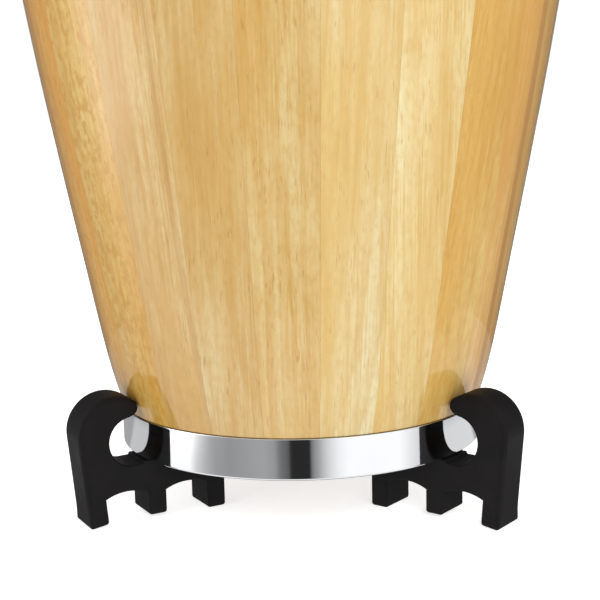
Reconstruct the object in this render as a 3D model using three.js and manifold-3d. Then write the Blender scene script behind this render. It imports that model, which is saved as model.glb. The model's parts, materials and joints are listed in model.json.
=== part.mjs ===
// Conga drum: a barrel-tapered shell of glued wooden staves with a steel band round its bottom
// edge, a skin head drawn down over the bearing edge by a crown and hooked tension rods, and
// three moulded rubber feet that clip on to the bottom edge.
// Millimetres, +Z up. The origin is on the floor, on the drum's axis. The front faces -Y.
// Every piece is built on the front (-Y) side and turned about Z to its own azimuth, which is
// counted from -Y towards +X.

import * as THREE from 'three';
import { mergeVertices } from 'three/addons/utils/BufferGeometryUtils.js';
import Module from 'manifold-3d';

const wasm = await Module();
wasm.setup();

// ---- Driving dimensions -------------------------------------------------------------------

const GAP = 0.3; // clearance left between neighbouring pieces
const FRONT = -Math.PI / 2; // turns the +X direction to the front

// Shell. Outer radius at hand-chosen heights, joined by a smooth cubic.
const SHELL_HEIGHTS = [64, 85, 110, 160, 220, 290, 360, 430, 490, 550, 620, 690, 750];
const SHELL_RADII = [119, 125.2, 130.8, 140.4, 151.8, 164.4, 175.2, 182.6, 185, 183, 175.5, 163.3, 150];
const STAVE_COUNT = 23;
const STAVE_THICKNESS = 12;
const GLUE_RADIUS = 150; // where a glue line is exactly one gap wide
const SEAM_AZIMUTH = THREE.MathUtils.degToRad(-6.5); // azimuth of one glue line
const FACETS = STAVE_COUNT * 2; // every turned piece shares the staves' facets
const SHELL_STEPS = 11;
const SHELL_TOP = 750;
const EDGE_DEPTH = 10; // height of the rounded bearing edge
const EDGE_SHOULDER = 3;

// Bottom band: a steel ring let into the staves, with a lip turned in under their ends.
const BAND_RADIUS = 120;
const BAND_TOP = 64.2;
const BAND_BOTTOM = 38.8;
const BAND_SHEET = 1.6;
const BAND_LIP_SHEET = 1.2;
const BAND_LIP = 8;
const BAND_CORNER = 1.4;

// Head: skin, flesh hoop and crown.
const SKIN_THICKNESS = 1.5;
const SKIN_CLEARANCE = 0.4;
const SKIN_HEM = 705;
const HOOP_WIRE_RADIUS = 4;
const HOOP_SIDES = 8;
const CROWN_SHEET = 4;
const CROWN_HEIGHT = 26;
const CROWN_FLANGE = 4;
const CROWN_LEDGE = 3.4; // how far the lower ledge reaches in over the flesh hoop
const CROWN_LIP = 10; // how far the rounded top reaches in over the skin
const EAR_WIDTH = 26;
const EAR_THICKNESS = 6;
const EAR_RISE = 7; // from the crown's lower edge to the ear's lower face
const EAR_HOLE_SIDES = 12;

// Tension rods, their nuts and the lug plates.
const LUG_COUNT = 6;
const ROD_CIRCLE = 189;
const ROD_RADIUS = 4;
const ROD_SIDES = 8;
const ROD_BOTTOM = 608;
const HOOK_RADIUS = 7;
const HOOK_STEPS = 8;
const HOOK_TIP_LENGTH = 9;
const HOOK_SEAT = 1; // the bend's centre lies this far below the ear's top
const NUT_ACROSS_FLATS = 14.3;
const NUT_HEIGHT = 14;
const NUT_FLANGE_RADIUS = 9.5;
const NUT_FLANGE = 2;
const NUT_BORE = 4.5; // radius
const NUT_SIDES = 6;
const NUT_FLANGE_SIDES = 18;
const NUT_BORE_SIDES = 12;
const LUG_Z = 636; // middle of the lug's nose
const LUG_SHEET = 4;
const LUG_WIDTH = 34;
const LUG_TOP = 38; // from the nose, up the plate
const LUG_BOTTOM = 46; // from the nose, down the plate
const LUG_CORNER = 6;
const CORNER_STEPS = 3;
const NOSE_HALF_WIDTH = 11;
const NOSE_THICKNESS = 12;
const NOSE_BORE = 5;
const NOSE_STEPS = 8;
const NOSE_BORE_SIDES = 16;
const RIB_SHEET = 3;
const RIB_OFFSET = 8.5;
const RIB_INSET = 1; // how far a rib's edges run into the nose and the plate
const RIB_REACH = 11;
const RIB_RISE = 20;

// Fixing of one lug plate: a backing plate inside the shell with two headed bolts.
const BOLT_RADIUS = 2.5;
const BOLT_SIDES = 10;
const BOLT_HEAD_RADIUS = 5;
const BOLT_HEAD = 3;
const BOLT_UPPER = 28; // from the nose, up the plate
const BOLT_LOWER = -36;
const BACKING_WIDTH = 30;
const BACKING_SHEET = 3;
const BACKING_STANDOFF = 2.8; // flat plate on the hollow inside of the shell

// Feet.
const FOOT_AZIMUTHS = [56.7, 180, -56.7].map(THREE.MathUtils.degToRad);
const FOOT_THICKNESS = 26.6;
const FOOT_BEVEL = 1.5;
const SOLE_OUTER = 157.6;
const LEG_LEAN = THREE.MathUtils.degToRad(5);
const HOOK_BACK = { r: 138.6, z: 58.2, radius: 24 };
const HOOK_HOLE = { r: 127.4, z: 52.4 };
const HOOK_TIP_ANGLE = THREE.MathUtils.degToRad(124);
const HOOK_TIP_RADIUS = 5.6;
const HOOK_BACK_STEPS = 14;
const HOOK_TIP_STEPS = 6;
const HOOK_HOLE_STEPS = 12;
const SEAT_OUTER = 121.2;
const SEAT_Z = BAND_BOTTOM - GAP;
const POST_OUTER = 105.2;
const POST_INNER = 93;
const POST_TOP = 60;
const POST_ROUND = 4;
const BRIDGE_Z = 36; // top of the foot between the post and the inner leg
const ARCH_SPRING = 17.4;
const ARCH_RISE = 3.2;
const ARCH_STEPS = 6;
const LEGS = {
  outer: { inside: 145.4, arch: 146.6, sole: 1.8 },
  middle: { outside: 118.4, inside: 106.4, sole: 2.6 },
  inner: { outside: 77.8, inside: 65.4 },
};

// ---- Shape helpers ------------------------------------------------------------------------

const shellCurve = new THREE.CubicInterpolant(SHELL_HEIGHTS, SHELL_RADII, 1);

function shellRadius(z) {
  return shellCurve.evaluate(z)[0];
}

function points(pairs) {
  return pairs.map(([x, y]) => new THREE.Vector2(x, y));
}

// Points of a circular arc, both ends included.
function arc(x, y, radius, from, to, steps) {
  const list = [];
  for (let i = 0; i <= steps; i += 1) {
    const angle = THREE.MathUtils.lerp(from, to, i / steps);
    list.push([x + radius * Math.cos(angle), y + radius * Math.sin(angle)]);
  }
  return list;
}

// Points of a shallow arch that springs from two ends at the same height.
function arch(fromX, toX, springY, rise, steps) {
  const half = (toX - fromX) / 2;
  const radius = (half * half + rise * rise) / (2 * rise);
  const spread = Math.asin(half / radius);
  const centreY = springY + rise - radius;
  const up = Math.PI / 2;
  return arc(fromX + half, centreY, radius, up + spread, up - spread, steps);
}

// Turns a closed outline of (radius, height) points about Z.
function turned(outline) {
  const closed = [...outline, outline[0]];
  const geometry = new THREE.LatheGeometry(points(closed), FACETS, SEAM_AZIMUTH);
  return geometry.rotateX(Math.PI / 2);
}

// A slab whose outline lies in the plane of (radius, height), centred on the front azimuth.
function radialSlab(outline, thickness, bevel = 0) {
  const geometry = new THREE.ExtrudeGeometry(new THREE.Shape(points(outline)), {
    depth: thickness - 2 * bevel,
    bevelEnabled: bevel > 0,
    bevelThickness: bevel,
    bevelSize: bevel,
    bevelOffset: -bevel,
    bevelSegments: 1,
  });
  geometry.translate(0, 0, bevel - thickness / 2);
  return geometry.rotateX(Math.PI / 2).rotateZ(FRONT);
}

// A prism that stands on Z, from an outline of (x, y) points.
function prism(outline, bottom, top) {
  const shape = new THREE.Shape(points(outline));
  const geometry = new THREE.ExtrudeGeometry(shape, { depth: top - bottom, bevelEnabled: false });
  return geometry.translate(0, 0, bottom);
}

function uprightCylinder(radius, bottom, top, sides) {
  const geometry = new THREE.CylinderGeometry(radius, radius, top - bottom, sides);
  return geometry.rotateX(Math.PI / 2).translate(0, 0, (top + bottom) / 2);
}

// A closed solid from a closed geometry, without the collapsed triangles on a lathe's axis.
function toSolid(geometry) {
  const bare = geometry.clone();
  bare.deleteAttribute('normal');
  bare.deleteAttribute('uv');
  const merged = mergeVertices(bare);
  const kept = [];
  for (let i = 0; i < merged.index.count; i += 3) {
    const [a, b, c] = merged.index.array.slice(i, i + 3);
    if (a !== b && b !== c && c !== a) kept.push(a, b, c);
  }
  return new wasm.Manifold(new wasm.Mesh({
    numProp: 3,
    vertProperties: new Float32Array(merged.attributes.position.array),
    triVerts: new Uint32Array(kept),
  }));
}

function toGeometry(solid) {
  const mesh = solid.getMesh();
  const geometry = new THREE.BufferGeometry();
  geometry.setAttribute('position', new THREE.BufferAttribute(mesh.vertProperties, 3));
  geometry.setIndex(new THREE.BufferAttribute(mesh.triVerts, 1));
  geometry.computeVertexNormals();
  return geometry;
}

function joined(geometries) {
  return geometries.map(toSolid).reduce((whole, piece) => whole.add(piece));
}

// ---- Shell --------------------------------------------------------------------------------

// Height and radius stations from the band's shoulder to the bearing edge.
function shellStations() {
  const bottom = BAND_TOP + GAP;
  const top = SHELL_TOP - EDGE_DEPTH;
  const list = [];
  for (let i = 0; i <= SHELL_STEPS; i += 1) {
    const z = THREE.MathUtils.lerp(bottom, top, i / SHELL_STEPS);
    list.push([shellRadius(z), z]);
  }
  return list;
}

// The section of the wooden wall: rebate for the band, outside, bearing edge, inside.
function shellSection() {
  const rebate = BAND_RADIUS - BAND_SHEET - GAP;
  const floor = BAND_BOTTOM + BAND_LIP_SHEET + GAP;
  const inside = SHELL_RADII[0] - STAVE_THICKNESS;
  const outer = shellStations();
  const inner = outer.map(([r, z]) => [r - STAVE_THICKNESS, z]).reverse();
  const topRadius = shellRadius(SHELL_TOP);
  return [
    [rebate, floor],
    [rebate, BAND_TOP + GAP],
    ...outer,
    [topRadius - EDGE_SHOULDER / 2, SHELL_TOP - EDGE_SHOULDER],
    [topRadius - EDGE_SHOULDER * 1.5, SHELL_TOP],
    [topRadius - EDGE_SHOULDER * 3, SHELL_TOP - EDGE_SHOULDER],
    ...inner,
    [inside, floor],
  ];
}

// One stave on the front side: a short turned stretch of the wall, closed at both its seams.
function stave() {
  const outline = points(shellSection());
  const half = Math.PI / STAVE_COUNT - GAP / 2 / GLUE_RADIUS;
  const facets = FACETS / STAVE_COUNT;
  const wall = new THREE.LatheGeometry([...outline, outline[0]], facets, -half, 2 * half);
  const index = [...wall.index.array];
  const lastRing = facets * (outline.length + 1);
  for (const [a, b, c] of THREE.ShapeUtils.triangulateShape(outline, [])) {
    index.push(a, b, c);
    index.push(lastRing + c, lastRing + b, lastRing + a);
  }
  wall.setIndex(index);
  return wall.rotateX(Math.PI / 2);
}

// ---- Lugs ---------------------------------------------------------------------------------

// Places a shape that is drawn on the shell's outer skin at the height of the lug's nose:
// x across the drum, y into it and z up its slope.
function onShell(geometry) {
  const step = LUG_CORNER;
  const slope = (shellRadius(LUG_Z + step) - shellRadius(LUG_Z - step)) / (2 * step);
  geometry.rotateX(Math.atan(slope));
  return geometry.translate(0, -shellRadius(LUG_Z), LUG_Z);
}

// A round bar along the shell's normal, from one depth to another (outward is positive).
function normalBar(radius, from, to, z) {
  const bar = uprightCylinder(radius, from, to, BOLT_SIDES).rotateX(Math.PI / 2);
  return onShell(bar.translate(0, 0, z));
}

// A flat plate on the shell's slope, between two depths.
function slopedPlate(width, bottom, top, from, to) {
  const w = width / 2 - LUG_CORNER;
  const low = bottom + LUG_CORNER;
  const high = top - LUG_CORNER;
  const quarter = Math.PI / 2;
  const outline = [
    ...arc(w, low, LUG_CORNER, -quarter, 0, CORNER_STEPS),
    ...arc(w, high, LUG_CORNER, 0, quarter, CORNER_STEPS),
    ...arc(-w, high, LUG_CORNER, quarter, 2 * quarter, CORNER_STEPS),
    ...arc(-w, low, LUG_CORNER, 2 * quarter, 3 * quarter, CORNER_STEPS),
  ];
  return onShell(prism(outline, from, to).rotateX(quarter));
}

function lugPlate() {
  const skin = shellRadius(LUG_Z);
  const halfNose = NOSE_THICKNESS / 2;
  const back = skin + LUG_SHEET / 2;
  const nose = prism(
    [
      [NOSE_HALF_WIDTH, -back],
      [-NOSE_HALF_WIDTH, -back],
      ...arc(0, -ROD_CIRCLE, NOSE_HALF_WIDTH, Math.PI, 2 * Math.PI, NOSE_STEPS),
    ],
    LUG_Z - halfNose,
    LUG_Z + halfNose,
  );
  const ribFoot = LUG_Z + halfNose - RIB_INSET;
  const ribTop = ribFoot + RIB_RISE;
  const rib = [
    [back, ribFoot],
    [back + RIB_REACH, ribFoot],
    [shellRadius(ribTop) + LUG_SHEET - RIB_INSET, ribTop],
  ];
  const ribs = [-RIB_OFFSET, RIB_OFFSET].map((x) => radialSlab(rib, RIB_SHEET).translate(x, 0, 0));
  const plate = slopedPlate(LUG_WIDTH, -LUG_BOTTOM, LUG_TOP, GAP, GAP + LUG_SHEET);
  const reach = 2 * LUG_SHEET;
  const rodHole = uprightCylinder(NOSE_BORE, LUG_Z - reach, LUG_Z + reach, NOSE_BORE_SIDES);
  rodHole.translate(0, -ROD_CIRCLE, 0);
  let solid = joined([plate, nose, ...ribs]).subtract(toSolid(rodHole));
  for (const z of [BOLT_UPPER, BOLT_LOWER]) {
    solid = solid.subtract(toSolid(normalBar(BOLT_RADIUS + GAP, 0, reach, z)));
  }
  return toGeometry(solid);
}

// Backing plate inside the shell with its two bolts, whose heads lie on the lug plate.
function lugFixing() {
  const depth = -(STAVE_THICKNESS + BACKING_STANDOFF);
  const headFrom = LUG_SHEET + 2 * GAP;
  const margin = 2 * LUG_CORNER;
  const pieces = [
    slopedPlate(BACKING_WIDTH, BOLT_LOWER - margin, BOLT_UPPER + margin, depth - BACKING_SHEET, depth),
  ];
  for (const z of [BOLT_UPPER, BOLT_LOWER]) {
    pieces.push(normalBar(BOLT_RADIUS, depth - BACKING_SHEET / 2, headFrom + BOLT_HEAD / 2, z));
    pieces.push(normalBar(BOLT_HEAD_RADIUS, headFrom, headFrom + BOLT_HEAD, z));
  }
  return toGeometry(joined(pieces));
}

// ---- Head ---------------------------------------------------------------------------------

// Skin: flat over the bearing edge, down the outside of the shell and up round the flesh hoop.
function headSkin() {
  const lie = SKIN_CLEARANCE;
  const out = SKIN_CLEARANCE + SKIN_THICKNESS;
  const top = SHELL_TOP + lie;
  const edge = shellRadius(SHELL_TOP);
  const hem = shellRadius(SKIN_HEM);
  const fold = hem + out + 2 * HOOP_WIRE_RADIUS + 2 * GAP;
  const levels = [SHELL_TOP - EDGE_SHOULDER, SHELL_TOP - EDGE_DEPTH, SKIN_HEM + EDGE_DEPTH];
  const under = levels.map((z) => [shellRadius(z) + lie, z]);
  const over = levels.map((z) => [shellRadius(z) + out, z]).reverse();
  return [
    [edge - EDGE_SHOULDER, top],
    ...under,
    [hem + lie, SKIN_HEM],
    [fold + SKIN_THICKNESS, SKIN_HEM],
    [fold + SKIN_THICKNESS, SKIN_HEM + EDGE_DEPTH],
    [fold, SKIN_HEM + EDGE_DEPTH],
    [fold, SKIN_HEM + SKIN_THICKNESS],
    [hem + out, SKIN_HEM + SKIN_THICKNESS],
    ...over,
    [edge + SKIN_THICKNESS / 2, SHELL_TOP + lie / 2],
    [edge - EDGE_SHOULDER, top + SKIN_THICKNESS],
    [0, top + SKIN_THICKNESS],
    [0, top],
  ];
}

const HOOP_RADIUS = shellRadius(SKIN_HEM) + SKIN_CLEARANCE + SKIN_THICKNESS + GAP + HOOP_WIRE_RADIUS;
const HOOP_Z = SKIN_HEM + SKIN_THICKNESS + GAP + HOOP_WIRE_RADIUS;
const CROWN_BOTTOM = HOOP_Z + HOOP_WIRE_RADIUS + GAP;
const CROWN_RADIUS = HOOP_RADIUS + HOOP_WIRE_RADIUS;
const EAR_TOP = CROWN_BOTTOM + EAR_RISE + EAR_THICKNESS;
const HOOK_CENTRE_Z = EAR_TOP - HOOK_SEAT;

// Crown: a steel ring with a ledge over the flesh hoop, a turned-in top and an ear per rod.
function crown() {
  const inside = CROWN_RADIUS - CROWN_SHEET;
  const ledge = inside - CROWN_LEDGE;
  const lip = CROWN_RADIUS - CROWN_LIP;
  const top = CROWN_BOTTOM + CROWN_HEIGHT;
  const outline = [
    [ledge, CROWN_BOTTOM],
    [CROWN_RADIUS, CROWN_BOTTOM],
    [CROWN_RADIUS, top - CROWN_FLANGE],
    [CROWN_RADIUS - CROWN_FLANGE / 2, top - CROWN_FLANGE / 4],
    [CROWN_RADIUS - CROWN_FLANGE, top],
    [lip, top],
    [lip, top - CROWN_FLANGE],
    [inside, top - CROWN_FLANGE],
    [inside, CROWN_BOTTOM + CROWN_FLANGE],
    [ledge, CROWN_BOTTOM + CROWN_FLANGE],
  ];
  const tipCircle = ROD_CIRCLE - 2 * HOOK_RADIUS;
  const halfEar = EAR_WIDTH / 2;
  const reach = ROD_CIRCLE - ROD_RADIUS - GAP;
  const corner = LUG_CORNER;
  const root = inside + CROWN_SHEET / 4;
  const ear = prism(
    [
      [halfEar, -root],
      [-halfEar, -root],
      [-halfEar, corner - reach],
      [corner - halfEar, -reach],
      [halfEar - corner, -reach],
      [halfEar, corner - reach],
    ],
    EAR_TOP - EAR_THICKNESS,
    EAR_TOP,
  );
  const hole = uprightCylinder(ROD_RADIUS + GAP, EAR_TOP - 2 * EAR_THICKNESS, EAR_TOP + GAP, EAR_HOLE_SIDES);
  hole.translate(0, -tipCircle, 0);
  let solid = toSolid(turned(outline));
  for (let i = 0; i < LUG_COUNT; i += 1) {
    const turn = lugAzimuth(i);
    solid = solid.add(toSolid(ear.clone().rotateZ(turn)));
    solid = solid.subtract(toSolid(hole.clone().rotateZ(turn)));
  }
  return toGeometry(solid);
}

function fleshHoop() {
  return turned(arc(HOOP_RADIUS, HOOP_Z, HOOP_WIRE_RADIUS, 0, 2 * Math.PI, HOOP_SIDES).slice(0, -1));
}

// A path through chosen stops, with one step of the sweep from each stop to the next.
class Route extends THREE.Curve {
  constructor(stops) {
    super();
    this.stops = stops;
  }

  getPoint(t) {
    const place = t * (this.stops.length - 1);
    const from = Math.min(Math.floor(place), this.stops.length - 2);
    return this.stops[from].clone().lerp(this.stops[from + 1], place - from);
  }

  getPointAt(t) {
    return this.getPoint(t);
  }

  getTangentAt(t) {
    return this.getTangent(t);
  }
}

// Hooked tension rod: up beside the ear, over its outer edge and down into its hole.
function tensionRod() {
  const centre = ROD_CIRCLE - HOOK_RADIUS;
  const side = [
    [ROD_CIRCLE, ROD_BOTTOM],
    ...arc(centre, HOOK_CENTRE_Z, HOOK_RADIUS, 0, Math.PI, HOOK_STEPS),
    [centre - HOOK_RADIUS, HOOK_CENTRE_Z - HOOK_TIP_LENGTH],
  ];
  const route = new Route(side.map(([r, z]) => new THREE.Vector3(0, -r, z)));
  const section = new THREE.Shape(points(arc(0, 0, ROD_RADIUS, 0, 2 * Math.PI, ROD_SIDES)));
  return new THREE.ExtrudeGeometry(section, { steps: side.length - 1, extrudePath: route });
}

function nut() {
  const top = LUG_Z - NOSE_THICKNESS / 2 - GAP;
  const corner = NUT_ACROSS_FLATS / 2 / Math.cos(Math.PI / NUT_SIDES);
  const hex = uprightCylinder(corner, top - NUT_HEIGHT, top - NUT_FLANGE / 2, NUT_SIDES);
  const flange = uprightCylinder(NUT_FLANGE_RADIUS, top - NUT_FLANGE, top, NUT_FLANGE_SIDES);
  const bore = uprightCylinder(NUT_BORE, top - NUT_HEIGHT - GAP, top + GAP, NUT_BORE_SIDES);
  const solid = joined([hex, flange]).subtract(toSolid(bore));
  return toGeometry(solid).translate(0, -ROD_CIRCLE, 0);
}

// ---- Band and feet ------------------------------------------------------------------------

function bottomBand() {
  const inside = BAND_RADIUS - BAND_SHEET;
  const lip = BAND_RADIUS - BAND_LIP;
  return turned([
    [lip, BAND_BOTTOM],
    [BAND_RADIUS - BAND_CORNER, BAND_BOTTOM],
    [BAND_RADIUS, BAND_BOTTOM + BAND_CORNER],
    [BAND_RADIUS, BAND_TOP - BAND_SHEET / 2],
    [BAND_RADIUS - BAND_SHEET / 2, BAND_TOP],
    [inside, BAND_TOP],
    [inside, BAND_BOTTOM + BAND_LIP_SHEET],
    [lip, BAND_BOTTOM + BAND_LIP_SHEET],
  ]);
}

// Side outline of a foot: outer leg, C-shaped hook over the band, seat for the shell's edge,
// post inside the shell, inner leg, and two shallow arches either side of the middle leg.
function footOutline() {
  const back = HOOK_BACK;
  const hole = HOOK_HOLE;
  const right = Math.PI / 2;
  const tipReach = back.radius - HOOK_TIP_RADIUS;
  const tip = {
    r: back.r + tipReach * Math.cos(HOOK_TIP_ANGLE),
    z: back.z + tipReach * Math.sin(HOOK_TIP_ANGLE),
  };
  const holeToTip = Math.atan2(tip.z - hole.z, tip.r - hole.r);
  const tipEnd = Math.PI + holeToTip;
  const holeRadius = Math.hypot(tip.z - hole.z, tip.r - hole.r) - HOOK_TIP_RADIUS;
  const { outer, middle, inner } = LEGS;
  const postShoulder = POST_TOP - POST_ROUND;
  const bridgeCorner = inner.inside + POST_ROUND;
  return [
    [SOLE_OUTER, 0],
    ...arc(back.r, back.z, back.radius, -LEG_LEAN, HOOK_TIP_ANGLE, HOOK_BACK_STEPS),
    ...arc(tip.r, tip.z, HOOK_TIP_RADIUS, HOOK_TIP_ANGLE, tipEnd, HOOK_TIP_STEPS).slice(1),
    ...arc(hole.r, hole.z, holeRadius, holeToTip, -right, HOOK_HOLE_STEPS).slice(1),
    [SEAT_OUTER, hole.z - holeRadius],
    [SEAT_OUTER, SEAT_Z],
    [POST_OUTER, SEAT_Z],
    ...arc(POST_OUTER - POST_ROUND, postShoulder, POST_ROUND, 0, right, CORNER_STEPS),
    ...arc(POST_INNER + POST_ROUND, postShoulder, POST_ROUND, right, 2 * right, CORNER_STEPS),
    [POST_INNER, BRIDGE_Z + POST_ROUND],
    [POST_INNER - POST_ROUND, BRIDGE_Z],
    ...arc(bridgeCorner, BRIDGE_Z - POST_ROUND, POST_ROUND, right, 2 * right, CORNER_STEPS),
    [inner.inside, 0],
    [inner.outside, 0],
    ...arch(inner.outside, middle.inside, ARCH_SPRING, ARCH_RISE, ARCH_STEPS),
    [middle.inside, middle.sole],
    [middle.outside, middle.sole],
    ...arch(middle.outside, outer.arch, ARCH_SPRING, ARCH_RISE, ARCH_STEPS),
    [outer.inside, outer.sole],
  ];
}

// ---- Assembly -----------------------------------------------------------------------------

const FINISHES = {
  wood: { roughness: 0.25, metalness: 0 },
  chrome: { color: 0xd9dadd, roughness: 0.08, metalness: 1 },
  steel: { color: 0x8f9195, roughness: 0.4, metalness: 1 },
  rubber: { color: 0x232122, roughness: 0.65, metalness: 0 },
  skin: { color: 0xe6dcc4, roughness: 0.6, metalness: 0 },
};
const WOOD_TONES = [0xd9ae6c, 0xd2a35f, 0xdcb57a, 0xcf9c57];

const drum = new THREE.Group();

function addPiece(name, geometry, finish, azimuth = 0, overrides = {}) {
  const material = new THREE.MeshStandardMaterial({ ...FINISHES[finish], ...overrides });
  const mesh = new THREE.Mesh(geometry, material);
  mesh.name = name;
  mesh.rotation.z = azimuth;
  drum.add(mesh);
}

function lugAzimuth(index) {
  return (index * 2 * Math.PI) / LUG_COUNT;
}

// Clearance holes for every lug bolt, cut through the staves they meet.
function boltHoles() {
  const holes = [];
  for (let i = 0; i < LUG_COUNT; i += 1) {
    for (const z of [BOLT_UPPER, BOLT_LOWER]) {
      const hole = normalBar(BOLT_RADIUS + GAP, -2 * STAVE_THICKNESS, LUG_SHEET, z);
      holes.push(toSolid(hole.rotateZ(lugAzimuth(i))));
    }
  }
  return holes.reduce((all, hole) => all.add(hole));
}

function addStaves() {
  const blank = stave();
  const holes = boltHoles();
  for (let i = 0; i < STAVE_COUNT; i += 1) {
    const azimuth = SEAM_AZIMUTH + ((i + 0.5) * 2 * Math.PI) / STAVE_COUNT;
    const placed = toSolid(blank.clone().rotateZ(azimuth));
    const color = WOOD_TONES[i % WOOD_TONES.length];
    addPiece(`stave_${i + 1}`, toGeometry(placed.subtract(holes)), 'wood', 0, { color });
  }
}

function addHead() {
  addPiece('head_skin', toGeometry(toSolid(turned(headSkin()))), 'skin');
  addPiece('flesh_hoop', fleshHoop(), 'steel');
  addPiece('crown', crown(), 'chrome');
  const rod = tensionRod();
  for (let i = 0; i < LUG_COUNT; i += 1) {
    const azimuth = lugAzimuth(i);
    addPiece(`tension_rod_${i + 1}`, rod, 'chrome', azimuth);
    addPiece(`tuning_nut_${i + 1}`, nut(), 'chrome', azimuth);
    addPiece(`lug_plate_${i + 1}`, lugPlate(), 'chrome', azimuth);
    addPiece(`lug_fixing_${i + 1}`, lugFixing(), 'steel', azimuth);
  }
}

function addFeet() {
  const foot = radialSlab(footOutline(), FOOT_THICKNESS, FOOT_BEVEL);
  FOOT_AZIMUTHS.forEach((azimuth, i) => addPiece(`foot_${i + 1}`, foot, 'rubber', azimuth));
}

addStaves();
addPiece('bottom_band', bottomBand(), 'chrome');
addHead();
addFeet();

export default drum;
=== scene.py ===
import json
import math
import random
import bmesh
import bpy
from mathutils import Matrix, Vector

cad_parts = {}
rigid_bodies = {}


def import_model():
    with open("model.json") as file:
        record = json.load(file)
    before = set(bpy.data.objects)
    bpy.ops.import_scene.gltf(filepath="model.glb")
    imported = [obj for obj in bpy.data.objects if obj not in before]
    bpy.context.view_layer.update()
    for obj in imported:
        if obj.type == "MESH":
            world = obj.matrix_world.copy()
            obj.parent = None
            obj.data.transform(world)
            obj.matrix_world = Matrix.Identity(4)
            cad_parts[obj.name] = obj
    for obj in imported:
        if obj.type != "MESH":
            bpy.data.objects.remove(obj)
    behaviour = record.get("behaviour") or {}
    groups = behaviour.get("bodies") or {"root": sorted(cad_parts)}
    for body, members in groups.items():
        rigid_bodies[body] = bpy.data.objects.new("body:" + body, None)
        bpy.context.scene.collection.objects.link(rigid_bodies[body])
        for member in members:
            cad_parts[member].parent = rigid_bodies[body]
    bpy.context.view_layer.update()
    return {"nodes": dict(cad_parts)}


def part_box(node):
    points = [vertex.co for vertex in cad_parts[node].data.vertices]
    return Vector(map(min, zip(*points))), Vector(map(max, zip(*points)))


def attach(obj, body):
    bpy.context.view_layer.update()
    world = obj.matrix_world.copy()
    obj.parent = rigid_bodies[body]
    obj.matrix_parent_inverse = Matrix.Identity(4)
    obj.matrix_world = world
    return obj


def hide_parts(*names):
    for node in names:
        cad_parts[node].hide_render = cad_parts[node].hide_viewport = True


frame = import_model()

# Conga drum. Metres, +Z up, front of the drum at -Y. Azimuths are counted from -Y towards +X.
NODES = frame["nodes"]
MM = 0.001

# ---- Driving dimensions ----

FOOT_AZIMUTHS = {"foot_1": 56.7, "foot_2": 180.0, "foot_3": -56.7}
LUG_COUNT = 6
THREAD_PITCH = 25.4 / 18 * MM
STAVE_THICKNESS = 12 * MM
HAIRLINE = 0.06 * MM  # what is left of each glue line under the lacquer
CLEARANCE = 0.3 * MM  # between pieces that lie against each other

# Angles in degrees; the heading is counted from +Y towards +X.
CAMERA_DISTANCE = 0.8382  # from the drum's axis
CAMERA_AZIMUTH = 4.2
CAMERA_HEIGHT = 0.2661
CAMERA_HEADING = -4.15
CAMERA_PITCH = -9.42
CAMERA_ROLL = -1.29
CAMERA_LENS = 76.07  # millimetres
CAMERA_SENSOR = 36  # millimetres

# ---- Small helpers ----


def direction(azimuth):
    return Vector((math.sin(azimuth), -math.cos(azimuth), 0))


def place(azimuth, radius, z, across=0.0):
    """A point at an azimuth, a radius and a height, moved sideways by across."""
    along = Vector((math.cos(azimuth), math.sin(azimuth), 0))
    return direction(azimuth) * radius + along * across + Vector((0, 0, z))


def arc(x, y, radius, start, end, steps):
    angles = [math.radians(start + (end - start) * i / steps) for i in range(steps + 1)]
    return [(x + radius * math.cos(a), y + radius * math.sin(a)) for a in angles]


def finish_mesh(name, bm, material, sharp=35):
    """An object made from a bmesh, smooth except at edges sharper than an angle in degrees."""
    bmesh.ops.recalc_face_normals(bm, faces=bm.faces)
    mesh = bpy.data.meshes.new(name)
    bm.to_mesh(mesh)
    bm.free()
    mesh.materials.append(material)
    mesh.shade_smooth()
    mesh.set_sharp_from_angle(angle=math.radians(sharp))
    obj = bpy.data.objects.new(name, mesh)
    bpy.context.scene.collection.objects.link(obj)
    return obj


def rings_to_mesh(bm, rings, closed=True, capped=True):
    """Skins a list of equal rings of points; closed joins each ring's last point to its first."""
    rows = [[bm.verts.new(p) for p in ring] for ring in rings]
    count = len(rows[0])
    span = count if closed else count - 1
    for low, high in zip(rows, rows[1:]):
        for i in range(span):
            j = (i + 1) % count
            bm.faces.new((low[i], low[j], high[j], high[i]))
    if capped:
        bm.faces.new(rows[0])
        bm.faces.new(list(reversed(rows[-1])))
    return rows


def close_turn(bm, rows):
    """Joins the last ring of a full turn to the first."""
    first, last = rows[0], rows[-1]
    for i in range(len(first)):
        j = (i + 1) % len(first)
        bm.faces.new((last[i], last[j], first[j], first[i]))


def revolve(bm, outline, steps):
    """A full turn of a closed outline of (radius, z) points round the drum's axis."""
    rings = [[place(2 * math.pi * k / steps, r, z) for r, z in outline] for k in range(steps)]
    close_turn(bm, rings_to_mesh(bm, rings, capped=False))


def bevelled(obj, width):
    """Rounds the edges of a plate."""
    mod = obj.modifiers.new("edges", "BEVEL")
    mod.width = width
    mod.segments = 3
    mod.limit_method = "ANGLE"
    mod.angle_limit = math.radians(35)
    mod.harden_normals = True
    return obj


def evenly_shaded(obj):
    """Keeps broad faces flat right up to the small roundings beside them."""
    shading = obj.modifiers.new("flat_faces", "WEIGHTED_NORMAL")
    shading.keep_sharp = True
    return obj


def stand_for(obj, body, slot, *nodes):
    """Says which body a piece moves with and hides the CAD nodes that it replaces; the colour slot is not
    used.
    """
    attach(obj, body)
    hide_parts(*nodes)


def numbered(prefix):
    """Names of the nodes of one kind, in the order of their numbers."""
    names = [n for n in NODES if n.startswith(prefix)]
    return sorted(names, key=lambda n: int(n.rsplit("_", 1)[1]))


# ---- Materials ----


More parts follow.
